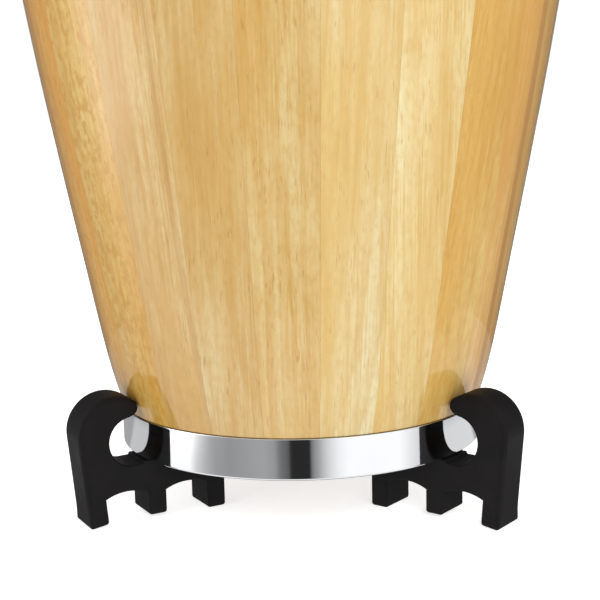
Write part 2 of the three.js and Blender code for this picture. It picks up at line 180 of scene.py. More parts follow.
class Shader:
    """A material whose nodes are added by short calls."""

    def __init__(self, name):
        self.material = bpy.data.materials.new(name)
        self.material.use_nodes = True
        self.tree = self.material.node_tree
        self.surface = self.tree.nodes["Principled BSDF"]

    def node(self, kind, inputs=None, **settings):
        made = self.tree.nodes.new("ShaderNode" + kind)
        for key, value in settings.items():
            setattr(made, key, value)
        for key, value in (inputs or {}).items():
            self.feed(made.inputs[key], value)
        return made

    def feed(self, socket, value):
        if isinstance(value, bpy.types.NodeSocket):
            self.tree.links.new(value, socket)
        else:
            socket.default_value = value

    def set(self, **values):
        for key, value in values.items():
            self.feed(self.surface.inputs[key.replace("_", " ")], value)

    def objects(self, turn=0.0):
        """Object coordinates, turned about Z."""
        coords = self.node("TexCoord").outputs["Object"]
        return self.node("Mapping", {"Vector": coords, "Rotation": (0, 0, turn)}).outputs[0]

    def noise(self, vector, scale, detail=2.0, rough=0.5, distortion=0.0):
        inputs = {"Vector": vector, "Scale": scale, "Detail": detail, "Roughness": rough}
        return self.node("TexNoise", {**inputs, "Distortion": distortion}).outputs["Fac"]

    def range(self, value, low, high, to_low=0.0, to_high=1.0, smooth=False):
        inputs = {"Value": value, "From Min": low, "From Max": high, "To Min": to_low, "To Max": to_high}
        style = "SMOOTHSTEP" if smooth else "LINEAR"
        return self.node("MapRange", inputs, interpolation_type=style).outputs[0]

    def math(self, operation, a, b=0.0):
        made = self.node("Math", operation=operation)
        self.feed(made.inputs[0], a)
        self.feed(made.inputs[1], b)
        return made.outputs[0]

    def mix(self, factor, a, b):
        made = self.node("Mix", data_type="RGBA")
        # The colour version's factor, A and B are sockets 0, 6 and 7, and its result is output 2.
        for socket, value in zip((made.inputs[0], made.inputs[6], made.inputs[7]), (factor, a, b)):
            self.feed(socket, value)
        return made.outputs[2]

    def ramp(self, value, stops):
        made = self.node("ValToRGB", {"Fac": value})
        band = made.color_ramp
        while len(band.elements) < len(stops):
            band.elements.new(0.5)
        for element, (position, colour) in zip(band.elements, stops):
            element.position = position
            element.color = (*colour, 1)
        return made.outputs["Color"]

    def greys(self, value, stops):
        return self.ramp(value, [(position, (grey,) * 3) for position, grey in stops])

    def bump(self, height, strength, distance):
        made = self.node("Bump", {"Height": height, "Strength": strength, "Distance": distance})
        return made.outputs["Normal"]


def tinted(tone, factors):
    return tuple(min(1.0, t * f) for t, f in zip(tone, factors)) + (1,)


# Shades of the grain, as factors of a stave's own tone.
PALE_WOOD = (1.08, 1.22, 1.55)
DEEP_WOOD = (0.98, 0.9, 0.74)
DARK_GRAIN = (0.86, 0.69, 0.38)
PORE = (0.6, 0.38, 0.17)
BLOTCH = (0.84, 0.68, 0.42)
STRIPE = (0.74, 0.6, 0.5)

YEAR = ((0.0, 0), (0.45, 0.3), (0.85, 1), (1.0, 0))  # how dark the wood of one year is, from spring on
YEAR_WIDTHS = (0.006, 0.011)
RING_WARP = 0.022
TRUNK_TILT = 0.03
STRIPE_SWAY = 0.012


class Wood(Shader):
    """Solid grain that runs up its own stave.

    The heart is (across, distance, lean): how far the middle of the tree lies to one side of the stave's
    middle and how far from the drum's axis, in metres, and how the grain leans, in radians.
    """

    def __init__(self, name, azimuth, seed, heart):
        super().__init__(name)
        self.rng = random.Random(seed)
        self.heart = heart
        self.own = self.objects(turn=-azimuth)
        shift = tuple(self.rng.uniform(-3, 3) for _ in range(3))
        log = self.node("Mapping", {"Vector": self.own, "Location": shift, "Rotation": (0, heart[2], 0)})
        self.log = log.outputs[0]

    def grain(self, along, scale, detail=2, rough=0.5):
        """Noise drawn out up the log: along is its scale there, as a share of its scale across."""
        drawn = self.node("Mapping", {"Vector": self.log, "Scale": (1, along, along)})
        return self.noise(drawn.outputs[0], scale, detail, rough)

    def growth(self):
        """Year rings round the tree's heart, clear in some places and gone in others."""
        across, distance, lean = self.heart
        tilt = (self.rng.uniform(-TRUNK_TILT, TRUNK_TILT), lean, 0)
        centred = {"Vector": self.own, "Location": (-across, distance, 0), "Rotation": tilt}
        trunk = self.node("Mapping", centred)
        level = self.node("VectorMath", {0: trunk.outputs[0], 1: (1, 1, 0)}, operation="MULTIPLY")
        girth = self.node("VectorMath", {0: level.outputs[0]}, operation="LENGTH").outputs["Value"]
        warped = self.math("ADD", girth, self.math("MULTIPLY", self.grain(0.14, 7), RING_WARP))
        year = self.math("FRACT", self.math("DIVIDE", warped, self.rng.uniform(*YEAR_WIDTHS)))
        return self.math("MULTIPLY", self.greys(year, YEAR), self.range(self.grain(0.06, 36), 0.42, 0.66))

    def pores(self):
        """Short dark dots in clumps."""
        dots = self.range(self.grain(0.1, 1150, 1, 0.4), 0.63, 0.7, smooth=True)
        clumps = self.range(self.grain(0.3, 95), 0.4, 0.62, 0.1, 1.0, smooth=True)
        return self.math("MULTIPLY", dots, clumps)

    def stripe(self, offset, half_width, strength):
        """A soft-edged band that sways a little on its way up, to one side of the stave's middle."""
        sway = self.math("MULTIPLY", self.math("SUBTRACT", self.grain(0.1, 22, 3), 0.5), STRIPE_SWAY)
        across = self.math("ADD", self.node("SeparateXYZ", {"Vector": self.own}).outputs["X"], sway)
        away = self.math("ABSOLUTE", self.math("SUBTRACT", across, offset))
        return self.range(away, 0.6 * half_width, 1.4 * half_width, strength, 0.0, smooth=True)


def lacquered_wood(name, azimuth, tone, seed, heart, stripe, figure):
    """Rubberwood under clear gloss lacquer."""
    s = Wood(name, azimuth, seed, heart)
    fibre = s.grain(0.03, 640, 3, 0.6)
    bundles = s.range(s.grain(0.12, 75), 0.38, 0.6, 0.2, 1.0, smooth=True)
    hairs = s.math("MULTIPLY", s.range(fibre, 0.44, 0.72), bundles)
    streaks = s.range(s.grain(0.055, 150, 4, 0.6), 0.46, 0.74, 0.0, 0.75)
    mottle = s.range(s.grain(0.4, 330, 3, 0.6), 0.42, 0.75, 0.0, 0.5)
    blotches = s.range(s.grain(0.6, 230, 3, 0.6), 0.46, 0.62, 0.0, figure, smooth=True)
    pores = s.pores()
    layers = (
        (s.range(s.grain(0.2, 24, 3), 0.36, 0.62), DEEP_WOOD),
        (s.math("MULTIPLY", s.growth(), 0.5), DARK_GRAIN),
        (streaks, DARK_GRAIN),
        (mottle, DARK_GRAIN),
        (s.math("MULTIPLY", hairs, 0.9), DARK_GRAIN),
        (s.math("MULTIPLY", pores, 0.38), PORE),
        (blotches, BLOTCH),
        (s.stripe(*stripe), STRIPE),
    )
    colour = tinted(tone, PALE_WOOD)
    for strength, shade in layers:
        colour = s.mix(strength, colour, tinted(tone, shade))
    relief = s.math("SUBTRACT", s.math("MULTIPLY", fibre, 0.4), pores)
    s.set(
        Base_Color=colour,
        Roughness=s.range(fibre, 0.2, 0.8, 0.38, 0.5),
        Normal=s.bump(relief, 0.12, 0.0002),
        Specular_IOR_Level=0.2,
        Coat_Weight=1.0,
        Coat_Roughness=0.03,
        Coat_IOR=1.5,
        Coat_Normal=s.bump(s.noise(s.objects(), 26, 1), 0.04, 0.002),
    )
    return s.material


BRIGHT_CHROME = (0.84, 0.845, 0.86)
PLAIN_CHROME = (0.83, 0.835, 0.85)
DULL_CHROME = (0.82, 0.825, 0.84)


def chrome(name, base, ripple):
    """Polished plate: a faint haze of polishing marks and a slow ripple in the sheet."""
    s = Shader(name)
    marks = s.noise(s.objects(), 900, 2, 0.6)
    cloud = s.noise(s.objects(), 35, 3, 0.6)
    tone = s.mix(s.range(cloud, 0.35, 0.75), (*base, 1), tinted(base, (0.955, 0.96, 0.97)))
    wave = s.noise(s.objects(), ripple, 1, 0.4)
    s.set(
        Base_Color=tone,
        Metallic=1.0,
        Roughness=s.range(marks, 0.3, 0.8, 0.025, 0.075),
        Normal=s.bump(wave, 0.06, 0.002),
    )
    return s.material


def zinc_steel(name):
    """Dull grey zinc plate, a little cloudy."""
    s = Shader(name)
    cloud = s.noise(s.objects(), 160, 4, 0.65)
    tone = s.ramp(cloud, [(0.3, (0.32, 0.32, 0.31)), (0.7, (0.52, 0.52, 0.5))])
    s.set(
        Base_Color=tone,
        Metallic=1.0,
        Roughness=s.range(cloud, 0.3, 0.7, 0.3, 0.5),
        Normal=s.bump(s.noise(s.objects(), 1500, 2), 0.15, 0.0001),
    )
    return s.material


def moulded_rubber(name):
    """Matt black rubber with a fine moulded grain, and its convex edges painted paler as a highlight."""
    s = Shader(name)
    grain = s.noise(s.objects(), 2600, 2, 0.6)
    cloud = s.noise(s.objects(), 60, 4, 0.6)
    tone = s.ramp(cloud, [(0.3, (0.0064, 0.0058, 0.006)), (0.72, (0.0095, 0.0086, 0.0089))])
    # Painted highlight: sharp convex edges are made paler, standing in for the light that the rounded
    # edges catch.
    edges = s.node("NewGeometry").outputs["Pointiness"]
    painted_edge_highlight = s.range(edges, 0.53, 0.62, 0.0, 0.35, smooth=True)
    tone = s.mix(painted_edge_highlight, tone, (0.02, 0.019, 0.019, 1))
    s.set(
        Base_Color=tone,
        Roughness=s.range(cloud, 0.3, 0.7, 0.46, 0.58),
        Normal=s.bump(grain, 0.25, 0.00012),
        Specular_IOR_Level=0.08,
    )
    return s.material


def rawhide(name):
    """Natural skin: cloudy, faintly veined, with darker pores."""
    s = Shader(name)
    cloud = s.noise(s.objects(), 11, 5, 0.6, 0.6)
    tans = [(0.28, (0.5, 0.36, 0.2)), (0.45, (0.66, 0.53, 0.34))]
    tans += [(0.62, (0.75, 0.64, 0.45)), (0.8, (0.8, 0.72, 0.56))]
    tone = s.ramp(cloud, tans)
    veins = s.noise(s.objects(), 38, 3, 0.5, 2.2)
    vein_line = s.math("ABSOLUTE", s.math("SUBTRACT", veins, 0.5))
    vein_mask = s.range(vein_line, 0.0, 0.02, 0.35, 0.0, smooth=True)
    tone = s.mix(vein_mask, tone, (0.48, 0.34, 0.19, 1))
    cells = s.node("TexVoronoi", {"Vector": s.objects(), "Scale": 700.0}, feature="F1")
    follicles = cells.outputs["Distance"]
    dots = s.range(follicles, 0.0, 0.28, 0.45, 0.0, smooth=True)
    tone = s.mix(dots, tone, (0.4, 0.27, 0.14, 1))
    s.set(
        Base_Color=tone,
        Roughness=s.range(cloud, 0.3, 0.7, 0.5, 0.62),
        Normal=s.bump(s.math("ADD", s.math("MULTIPLY", cloud, 2.0), follicles), 0.25, 0.0004),
        Subsurface_Weight=0.12,
        Subsurface_Scale=0.004,
    )
    return s.material


# ---- Shell ----

# Outer radius at given heights, in millimetres, joined by a smooth cubic.
SHELL_HEIGHTS = (64, 85, 110, 160, 220, 290, 360, 430, 490, 550, 620, 690, 750)
SHELL_RADII = (119, 125.2, 130.8, 140.4, 151.8, 164.4, 175.2, 182.6, 185, 183, 175.5, 163.3, 150)


def shell_slope(k):
    """Slope of the shell's side at one of the stations, between its neighbours."""
    below, above = max(k - 1, 0), min(k + 1, len(SHELL_HEIGHTS) - 1)
    return (SHELL_RADII[above] - SHELL_RADII[below]) / (SHELL_HEIGHTS[above] - SHELL_HEIGHTS[below])


def shell_radius(z):
    """Outer radius of the wood at a height, both in metres."""
    height = z / MM
    reached = sum(1 for level in SHELL_HEIGHTS if level <= height)
    i = min(max(reached - 1, 0), len(SHELL_HEIGHTS) - 2)
    step = SHELL_HEIGHTS[i + 1] - SHELL_HEIGHTS[i]
    t = (height - SHELL_HEIGHTS[i]) / step
    blend = 3 * t**2 - 2 * t**3
    bend = (t**3 - 2 * t**2 + t) * shell_slope(i) + (t**3 - t**2) * shell_slope(i + 1)
    return (SHELL_RADII[i] + (SHELL_RADII[i + 1] - SHELL_RADII[i]) * blend + bend * step) * MM


BAND_LOW, BAND_TOP = (corner.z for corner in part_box("bottom_band"))
BAND_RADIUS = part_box("bottom_band")[1].y
SHELL_FLOOR, SHELL_TOP = (corner.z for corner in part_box("stave_1"))
BAND_SHEET = 1.6 * MM
SHOULDER = BAND_TOP + CLEARANCE  # where the wood steps out over the band
EDGE_DEPTH = 10 * MM  # height of the rounded bearing edge
EDGE_CREST = shell_radius(SHELL_TOP) - 4.5 * MM


def outside_line(bottom, steps):
    """The outside of the wood from a height up to the crest of the bearing edge."""
    top = SHELL_TOP - EDGE_DEPTH
    line = []
    for i in range(steps):
        z = bottom + (top - bottom) * i / steps
        line.append((shell_radius(z), z))
    shoulder = shell_radius(top)
    for x, y in arc(0, 0, 1, 0, 90, 9):
        line.append((EDGE_CREST + (shoulder - EDGE_CREST) * x, top + EDGE_DEPTH * y))
    return line


def shell_section():
    """The wooden wall: rebate for the band, outside, bearing edge and inside."""
    ease = 0.35 * MM  # bevel along the shoulder
    rebate = BAND_RADIUS - BAND_SHEET - CLEARANCE
    inside = shell_radius(SHOULDER) - STAVE_THICKNESS
    fall = 8 * MM  # height of the bearing edge's inner slope
    rim = shell_radius(SHELL_TOP - fall) - STAVE_THICKNESS
    points = [(rebate, SHELL_FLOOR), (rebate, SHOULDER), (shell_radius(SHOULDER) - ease, SHOULDER)]
    points += outside_line(SHOULDER + ease, 84)
    for x, y in arc(0, 0, 1, 90, 180, 5)[1:]:
        points.append((EDGE_CREST + (EDGE_CREST - rim) * x, SHELL_TOP - fall + fall * y))
    steps = 22
    for i in range(1, steps + 1):
        z = SHELL_TOP - fall + (SHOULDER - SHELL_TOP + fall) * i / steps
        points.append((shell_radius(z) - STAVE_THICKNESS, z))
    points.append((inside, SHELL_FLOOR))
    return points


def stave_middle(node):
    """Azimuth of a stave's middle, from the frame's own solid."""
    azimuths = [math.atan2(v.co.x, -v.co.y) for v in NODES[node].data.vertices]
    if max(azimuths) - min(azimuths) > math.pi:
        azimuths = [a % (2 * math.pi) for a in azimuths]
    return (max(azimuths) + min(azimuths)) / 2


# Colour of the lacquered wood in linear light.
HONEY = (0.435, 0.302, 0.118)
PEACH = (0.438, 0.293, 0.108)
CREAM = (0.452, 0.311, 0.116)
STRAW = (0.508, 0.4, 0.19)
SAND = (0.523, 0.4, 0.172)
AMBER = (0.494, 0.313, 0.081)
RUSSET = (0.492, 0.32, 0.086)
UMBER = (0.54, 0.3, 0.056)
OCHRE = (0.535, 0.33, 0.1)
STAVE_TONES = {
    19: OCHRE, 20: UMBER, 21: RUSSET, 22: PEACH, 23: HONEY, 1: CREAM, 2: STRAW, 3: SAND, 4: AMBER,
    5: OCHRE, 6: OCHRE,
}
OTHER_TONES = (HONEY, STRAW, AMBER, PEACH, RUSSET, CREAM)
# The tree's heart for the staves at the front, as Wood takes it; the others draw one from these ranges.
STAVE_HEARTS = {
    21: (0.1, 0.14, 0), 22: (0.006, 0.17, -0.03), 23: (0.03, 0.16, -0.05), 1: (0.12, 0.13, 0),
    2: (-0.05, 0.17, 0.01), 3: (0.012, 0.15, 0.09), 4: (0.02, 0.18, -0.06), 5: (-0.09, 0.14, 0),
}
HEART_ACROSS = (0.0, 0.11)
HEART_DISTANCE = (0.14, 0.19)
GRAIN_LEAN = (-0.04, 0.04)
# Bands of darker wood that run up a stave: where across it, half the width, and the strength.
STAVE_STRIPES = {5: (0.0085, 0.0045, 0.95), 20: (-0.012, 0.004, 0.5), 22: (0.0165, 0.002, 0.35)}
NO_STRIPE = (0, 0.001, 0)
BLOTCHED = {20: 0.6, 21: 0.9}  # strength of the blotched figure, for the staves that have it
STAVE_FACETS = 8


def build_staves():
    """Staves glued edge to edge, each with wood of its own."""
    names = numbered("stave_")
    section = shell_section()
    half = math.pi / len(names) - HAIRLINE / 2 / EDGE_CREST
    for number, node in enumerate(names, 1):
        middle = stave_middle(node)
        turns = [middle + half * (2 * k / STAVE_FACETS - 1) for k in range(STAVE_FACETS + 1)]
        bm = bmesh.new()
        rings_to_mesh(bm, [[place(turn, r, z) for r, z in section] for turn in turns])
        rng = random.Random(number)
        across = rng.choice((-1, 1)) * rng.uniform(*HEART_ACROSS)
        heart = (across, rng.uniform(*HEART_DISTANCE), rng.uniform(*GRAIN_LEAN))
        heart = STAVE_HEARTS.get(number, heart)
        tone = STAVE_TONES.get(number, OTHER_TONES[number % len(OTHER_TONES)])
        stripe = STAVE_STRIPES.get(number, NO_STRIPE)
        figure = BLOTCHED.get(number, 0.0)
        wood = lacquered_wood(f"wood_{number}", middle, tone, number, heart, stripe, figure)
        stand_for(finish_mesh(f"shell_{node}", bm, wood), "shell", "wood", node)


# ---- Bottom band ----


def build_band():
    """Rolled steel ring with a rounded rim, a soft lower corner and a lip under the wood."""
    lip = BAND_RADIUS - 8 * MM
    under = 1.2 * MM
    corner = 1.5 * MM
    rim = 0.55 * MM
    inside = BAND_RADIUS - BAND_SHEET
    outline = [(lip, BAND_LOW + rim / 2), (lip + rim / 2, BAND_LOW)]
    outline += arc(BAND_RADIUS - corner, BAND_LOW + corner, corner, -90, 0, 8)
    outline += arc(BAND_RADIUS - rim, BAND_TOP - rim, rim, 0, 90, 5)
    outline += arc(inside + rim / 2, BAND_TOP - rim / 2, rim / 2, 90, 180, 3)
    outline += [(inside, BAND_LOW + under), (lip + rim / 2, BAND_LOW + under)]
    outline += [(lip, BAND_LOW + under - rim / 2)]
    bm = bmesh.new()
    revolve(bm, outline, 288)
    plate = chrome("band_plating", BRIGHT_CHROME, 9)
    ring = evenly_shaded(finish_mesh("band_ring", bm, plate, 60))
    stand_for(ring, "shell", "band_chrome", "bottom_band")


# ---- Feet ----

# All in millimetres and degrees. Points are (radius from the drum's axis, height), in side view.
FOOT_THICKNESS = 26.6
HOOK_BACK = (138.6, 58.2)  # middle of the arc of the hook's back
HOOK_BACK_RADIUS = 24.0
HOOK_BACK_START = -5.0
HOOK_HOLE = (127.4, 52.4)  # middle of the arc inside the hook
HOOK_TIP_TURN = 124.0
HOOK_TIP_RADIUS = 5.6
SEAT_OUTER, SEAT_Z = 121.2, 38.5
POST_OUTER, POST_INNER, POST_TOP, POST_ROUND = 105.2, 93.0, 60.0, 4.0
BRIDGE_Z = 36.0
OUTER_LEG = ((146.6, 17.4), (145.4, 1.8), (157.6, 0.0), (162.5, 56.1))
MIDDLE_LEG = ((106.4, 17.4), (106.4, 2.6), (118.4, 2.6), (118.4, 17.4))
INNER_LEG = ((65.4, 17.4), (65.4, 0.0), (77.8, 0.0), (77.8, 17.4))
ARCH_RISE = 3.2  # of the two arches between the legs
SOLE_CORNER = 1.8
OUTER_EDGE, INNER_EDGE, SOLE_EDGE, SEAT_EDGE = 3.6, 1.6, 1.5, 0.5  # rounding along the two faces
SLIMMEST_MITRE = 0.7  # keeps the inset of a sharp corner from shooting out


def filleted(before, corner, after, radius, steps=4):
    """Points that round one corner of an outline."""
    middle = Vector(corner)
    back, ahead = (Vector(before) - middle).normalized(), (Vector(after) - middle).normalized()
    half = back.angle(ahead) / 2
    centre = middle + (back + ahead).normalized() * (radius / math.sin(half))
    reach = radius / math.tan(half)
    first, last = middle + back * reach - centre, middle + ahead * reach - centre
    spokes = [first.slerp(last, i / steps).normalized() for i in range(steps + 1)]
    return [tuple(centre + spoke * radius) for spoke in spokes]


def arch(start, end, rise, steps=16):
    """A shallow arch between the tops of two legs."""
    half = (end[0] - start[0]) / 2
    radius = (half * half + rise * rise) / (2 * rise)
    spread = math.degrees(math.asin(half / radius))
    return arc(start[0] + half, start[1] + rise - radius, radius, 90 + spread, 90 - spread, steps)


def leg_end(leg):
    """The sole of a leg, with both its corners rounded."""
    first, left, right, last = leg
    return filleted(first, left, right, SOLE_CORNER) + filleted(left, right, last, SOLE_CORNER)


def foot_outline():
    """Outline of a foot, each point with the rounding of the edge that runs through it."""
    reach = HOOK_BACK_RADIUS - HOOK_TIP_RADIUS
    turn = math.radians(HOOK_TIP_TURN)
    tip = (HOOK_BACK[0] + reach * math.cos(turn), HOOK_BACK[1] + reach * math.sin(turn))
    span = Vector(tip) - Vector(HOOK_HOLE)
    to_tip = math.degrees(math.atan2(span.y, span.x))
    hole = span.length - HOOK_TIP_RADIUS
    floor = HOOK_HOLE[1] - hole
    step = SEAT_EDGE
    seat = [(SEAT_OUTER + step, floor), (SEAT_OUTER, floor + step), (SEAT_OUTER, SEAT_Z - step)]
    seat += [(SEAT_OUTER - step, SEAT_Z), (POST_OUTER, SEAT_Z)]
    shoulder = POST_TOP - POST_ROUND
    post = arc(POST_OUTER - POST_ROUND, shoulder, POST_ROUND, 0, 90, 8)
    post += arc(POST_INNER + POST_ROUND, shoulder, POST_ROUND, 90, 180, 8)
    post += arc(POST_INNER - POST_ROUND, BRIDGE_Z + POST_ROUND, POST_ROUND, 0, -90, 8)
    post += arc(INNER_LEG[1][0] + POST_ROUND, BRIDGE_Z - POST_ROUND, POST_ROUND, 90, 180, 8)
    sole, lift = Vector(OUTER_LEG[2]), Vector(OUTER_LEG[3])
    runs = [
        (SOLE_EDGE, leg_end(OUTER_LEG)),
        (OUTER_EDGE, [sole.lerp(lift, t) for t in (0.1, 0.14, 0.2, 0.4, 0.6, 0.8)]),
        (OUTER_EDGE, arc(*HOOK_BACK, HOOK_BACK_RADIUS, HOOK_BACK_START, HOOK_TIP_TURN, 48)),
        (OUTER_EDGE, arc(*tip, HOOK_TIP_RADIUS, HOOK_TIP_TURN, 180 + to_tip, 16)[1:]),
        (INNER_EDGE, arc(*HOOK_HOLE, hole, to_tip, -90, 40)[1:]),
        (SEAT_EDGE, seat),
        (INNER_EDGE, post),
        (SOLE_EDGE, leg_end(INNER_LEG)),
        (INNER_EDGE, arch(INNER_LEG[3], MIDDLE_LEG[0], ARCH_RISE)),
        (SOLE_EDGE, leg_end(MIDDLE_LEG)),
        (INNER_EDGE, arch(MIDDLE_LEG[3], OUTER_LEG[0], ARCH_RISE)),
    ]
    return [(Vector(point), edge) for edge, run in runs for point in run]


def eased_down(values, passes):
    """Lets each large rounding of a closed list run down smoothly into its smaller neighbours."""
    for _ in range(passes):
        after = values[1:] + values[:1]
        values = [min(v, (values[i - 1] + v + after[i]) / 3) for i, v in enumerate(values)]
    return values


def ways_in(outline):
    """For each point of a closed outline, how far to move for one unit's inset."""
    ways = []
    for i, point in enumerate(outline):
        here = (point - outline[i - 1]).normalized()
        onward = (outline[(i + 1) % len(outline)] - point).normalized()
        left = (Vector((-here.y, here.x)) + Vector((-onward.y, onward.x))).normalized()
        mitre = math.sqrt(max(0.0, (1 + here.dot(onward)) / 2))
        ways.append(left / max(SLIMMEST_MITRE, mitre))
    return ways


def build_feet():
    """Rubber feet that hook over the band, with all their edges rounded."""
    outline, edges = zip(*foot_outline())
    edges = eased_down(list(edges), 3)
    ways = ways_in(outline)
    rubber = moulded_rubber("moulded_rubber")
    steps = 8
    # Round the edge of one face, straight across, and round the edge of the other; side is -1 or 1.
    swell = [(-1, k) for k in range(steps + 1)] + [(1, k) for k in range(steps, -1, -1)]
    for node, degrees in FOOT_AZIMUTHS.items():
        azimuth = math.radians(degrees)
        rings = []
        for side, k in swell:
            angle = math.pi / 2 * (1 - k / steps)
            ring = []
            for point, edge, way in zip(outline, edges, ways):
                spot = point + way * edge * (1 - math.cos(angle))
                across = FOOT_THICKNESS / 2 - edge * (1 - math.sin(angle))
                ring.append(place(azimuth, spot.x * MM, spot.y * MM, side * across * MM))
            rings.append(ring)
        bm = bmesh.new()
        rings_to_mesh(bm, rings)
        obj = evenly_shaded(finish_mesh(f"rubber_{node}", bm, rubber, sharp=60))
        stand_for(obj, node, "rubber", node)


# ---- Head ----

SKIN_THICKNESS = 1.5 * MM
SKIN_CLEARANCE = 0.4 * MM
WIRE_RADIUS = 4 * MM
SKIN_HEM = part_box("head_skin")[0].z
HOOP_Z = SKIN_HEM + SKIN_THICKNESS + CLEARANCE + WIRE_RADIUS
HOOP_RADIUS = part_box("flesh_hoop")[1].y - WIRE_RADIUS
CROWN_BOTTOM, CROWN_TOP = (corner.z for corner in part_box("crown"))
CROWN_RADIUS = HOOP_RADIUS + WIRE_RADIUS
EAR_TOP = CROWN_BOTTOM + 13 * MM
EAR_THICKNESS = 6 * MM


def sheet_outline(line, thickness):
    """Closed outline of a sheet that follows a line of (radius, height) points."""
    points = [Vector(p) for p in line]
    sides = []
    for i, point in enumerate(points):
        run = points[min(i + 1, len(points) - 1)] - points[max(i - 1, 0)]
        run.normalize()
        sides.append(Vector((-run.y, run.x)) * thickness / 2)
    left = [tuple(p + s) for p, s in zip(points, sides)]
    right = [tuple(p - s) for p, s in zip(points, sides)]
    return left + right[::-1]


def build_skin():
    """Skin over the bearing edge, down the shell and up round the flesh hoop."""
    lie = SKIN_CLEARANCE + SKIN_THICKNESS / 2
    fold = WIRE_RADIUS + CLEARANCE + SKIN_THICKNESS / 2
    wall = outside_line(HOOP_Z + 2 * MM, 10)
    slopes = [Vector(b) - Vector(a) for a, b in zip(wall, wall[1:])]
    slopes.append(Vector((-1, 0)))
    down = []
    for point, run in zip(wall, slopes):
        run.normalize()
        down.append(tuple(Vector(point) + Vector((run.y, -run.x)) * lie))
    line = [(HOOP_RADIUS + fold, CROWN_BOTTOM - 0.2 * MM)]
    line += arc(HOOP_RADIUS, HOOP_Z, fold, 0, -180, 16)
    line += down
    steps = 24
    line += [(EDGE_CREST * (1 - i / steps), SHELL_TOP + lie) for i in range(1, steps + 1)]
    bm = bmesh.new()
    revolve(bm, sheet_outline(line, SKIN_THICKNESS), 240)
    obj = finish_mesh("rawhide_head", bm, rawhide("rawhide"), sharp=60)
    stand_for(obj, "head", "rawhide", "head_skin")
    bm = bmesh.new()
    revolve(bm, arc(HOOP_RADIUS, HOOP_Z, WIRE_RADIUS, 0, 345, 23), 240)
    wire = zinc_steel("hoop_wire_steel")
    stand_for(finish_mesh("hoop_wire", bm, wire), "head", "steel", "flesh_hoop")


def slab(bm, outline, holes, bottom, top, matrix):
    """A plate between two heights, with holes, placed by a matrix."""
    edges = []
    for loop in [outline, *holes]:
        verts = [bm.verts.new((x, y, bottom)) for x, y in loop]
        edges += [bm.edges.new((verts[i - 1], verts[i])) for i in range(len(verts))]
    made = bmesh.ops.triangle_fill(bm, use_beauty=True, use_dissolve=True, edges=edges)
    faces = [f for f in made["geom"] if isinstance(f, bmesh.types.BMFace)]
    raised = bmesh.ops.extrude_face_region(bm, geom=faces, use_keep_orig=True)
    upper = [v for v in raised["geom"] if isinstance(v, bmesh.types.BMVert)]
    bmesh.ops.translate(bm, verts=upper, vec=(0, 0, top - bottom))
    lower = {v for f in faces for v in f.verts}
    bmesh.ops.transform(bm, verts=list(lower) + upper, matrix=matrix)


def circle(x, y, radius, steps=32):
    return arc(x, y, radius, 0, 360, steps)[:-1]


def rounded(half_width, low, high, corner, steps=6):
    """A rectangle with rounded corners, centred on x."""
    x = half_width - corner
    outline = arc(x, low + corner, corner, -90, 0, steps) + arc(x, high - corner, corner, 0, 90, steps)
    outline += arc(-x, high - corner, corner, 90, 180, steps)
    return outline + arc(-x, low + corner, corner, 180, 270, steps)


def lug_turns():
    """Azimuths of the lugs, in radians."""
    return [2 * math.pi * i / LUG_COUNT for i in range(LUG_COUNT)]


def build_crown():
    """Rolled ring with a ledge over the flesh hoop, a rounded top and an ear for each rod."""
    ledge, inside, lip = (CROWN_RADIUS - r * MM for r in (7.4, 4, 10))
    roll, rim, flange = 3.9 * MM, 0.8 * MM, 4 * MM
    outline = [(ledge + rim, CROWN_BOTTOM)]
    outline += arc(CROWN_RADIUS - rim, CROWN_BOTTOM + rim, rim, -90, 0, 4)
    outline += arc(CROWN_RADIUS - roll, CROWN_TOP - roll, roll, 0, 90, 12)
    outline += arc(lip + flange / 2, CROWN_TOP - flange / 2, flange / 2, 90, 270, 12)
    outline += arc(inside - rim, CROWN_TOP - flange - rim, rim, 90, 0, 4)
    outline += [(inside, CROWN_BOTTOM + flange), (ledge + rim, CROWN_BOTTOM + flange)]
    outline += arc(ledge + rim, CROWN_BOTTOM + flange - rim, rim, 90, 180, 4)[1:]
    outline += arc(ledge + rim, CROWN_BOTTOM + rim, rim, 180, 270, 4)[:-1]
    bm = bmesh.new()
    revolve(bm, outline, 288)
    plate = chrome("crown_plating", BRIGHT_CHROME, 11)
    ring = evenly_shaded(finish_mesh("crown_ring", bm, plate, 60))
    stand_for(ring, "head", "crown_chrome", "crown")
    half, reach, corner = 13 * MM, 184.7 * MM, 6 * MM  # of an ear, which points to -Y before it is turned
    root = CROWN_RADIUS - 3 * MM
    ear = [(half, -root), (-half, -root)]
    ear += arc(-half + corner, -reach + corner, corner, 180, 270, 6)
    ear += arc(half - corner, -reach + corner, corner, 270, 360, 6)
    hole = circle(0, 2 * HOOK_RADIUS - ROD_CIRCLE, ROD_RADIUS + CLEARANCE)
    bm = bmesh.new()
    for turn in lug_turns():
        slab(bm, ear, [hole], EAR_TOP - EAR_THICKNESS, EAR_TOP, Matrix.Rotation(turn, 4, "Z"))
    ears = bevelled(finish_mesh("crown_ears", bm, plate), 0.9 * MM)
    stand_for(ears, "head", "crown_chrome", "crown")


# ---- Tuning hardware ----

ROD_CIRCLE = 189 * MM
ROD_RADIUS = 4 * MM
ROD_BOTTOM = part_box("tension_rod_1")[0].z
THREAD_TOP = ROD_BOTTOM + 52 * MM
THREAD_DEPTH = 0.62 * MM
THREAD_STEPS = 6  # rings in one turn of the thread
ROD_SIDES = 24
HOOK_RADIUS = 7 * MM
HOOK_Z = EAR_TOP - 1 * MM
LUG_Z = 636 * MM
NOSE_THICKNESS = 12 * MM


